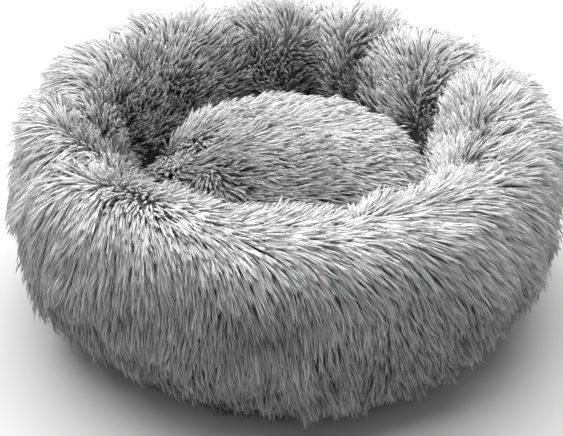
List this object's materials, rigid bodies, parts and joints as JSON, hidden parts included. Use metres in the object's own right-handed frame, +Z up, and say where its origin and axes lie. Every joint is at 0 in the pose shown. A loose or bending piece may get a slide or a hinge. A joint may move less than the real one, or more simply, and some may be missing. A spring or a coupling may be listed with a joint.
{
  "type": "pet cushion bed",
  "caption": "Round pet bed with a stuffed long-pile fur rim round a loose domed centre cushion, on a padded non-slip base with a short filling zip.",
  "frame": {"origin": "centre of the base's underside, on the surface that the bed stands on", "axes": "+Z up; -Y towards the side the picture shows; the filling zip runs along X under the rear (+Y) of the rim"},
  "size_m": [0.4941, 0.4961, 0.2],
  "materials": {
    "grey_fur": "matte",
    "cushion_fur": "matte",
    "cushion_cloth": "matte",
    "lining_cloth": "matte",
    "fibre_fill": "matte",
    "base_cloth": "matte",
    "binding_cloth": "matte",
    "zip_tape_cloth": "matte",
    "zip_nylon": "satin",
    "zip_metal": "satin"
  },
  "bodies": {
    "bed": {"rim_cover": "grey_fur", "rim_fill": "fibre_fill", "base_panel": "base_cloth", "base_binding": "binding_cloth", "nest_floor": "lining_cloth", "zip_tape_front": "zip_tape_cloth", "zip_tape_rear": "zip_tape_cloth", "zip_coil_front": "zip_nylon", "zip_coil_rear": "zip_nylon", "zip_stop_open_end": "zip_metal", "zip_stop_closed_end": "zip_metal"},
    "cushion": {"cushion_top_cover": "cushion_fur", "cushion_bottom_cover": "cushion_cloth", "cushion_fill": "fibre_fill"},
    "slider": {"zip_slider": "zip_metal"},
    "pull": {"zip_pull": "zip_metal"}
  },
  "joints": [
    {"name": "cushion_lift", "type": "slide", "parent": "bed", "child": "cushion", "axis": [0, 0, 1], "range_m": [0, 0.25]},
    {"name": "zip_slide", "type": "slide", "parent": "bed", "child": "slider", "axis": [-1, 0, 0], "range_m": [0, 0.122]},
    {"name": "zip_pull_swing", "type": "hinge", "parent": "slider", "child": "pull", "pos_m": [0.063, 0.14857, 0.0013], "axis": [0, -1, 0], "range_deg": [0, 150]}
  ]
}
